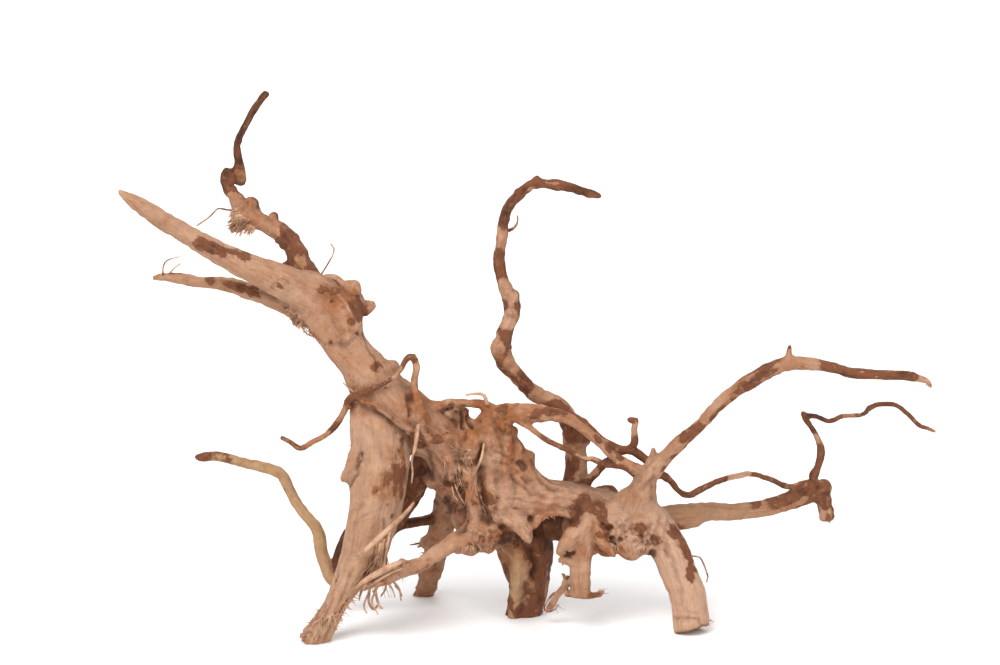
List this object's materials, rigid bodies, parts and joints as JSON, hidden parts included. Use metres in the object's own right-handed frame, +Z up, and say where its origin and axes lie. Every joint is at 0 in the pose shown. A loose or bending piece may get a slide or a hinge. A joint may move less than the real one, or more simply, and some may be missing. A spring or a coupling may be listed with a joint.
{
  "type": "piece of driftwood",
  "caption": "Weathered root-wood crown with bark patches, tapering limbs, curling side roots and the cut legs it stands on, for an aquarium, terrarium or shelf.",
  "frame": {"origin": "on the surface it stands on, under the middle of its bounding box", "axes": "+X along its longest extent, towards the side with the long arched limb, +Z up, -Y towards the side the picture shows"},
  "size_m": [0.4036, 0.1076, 0.2624],
  "materials": {
    "wood": "raw, peeled and weathered, with red-brown bark left in patches"
  },
  "bodies": {
    "root": {"driftwood": "wood"}
  },
  "joints": []
}
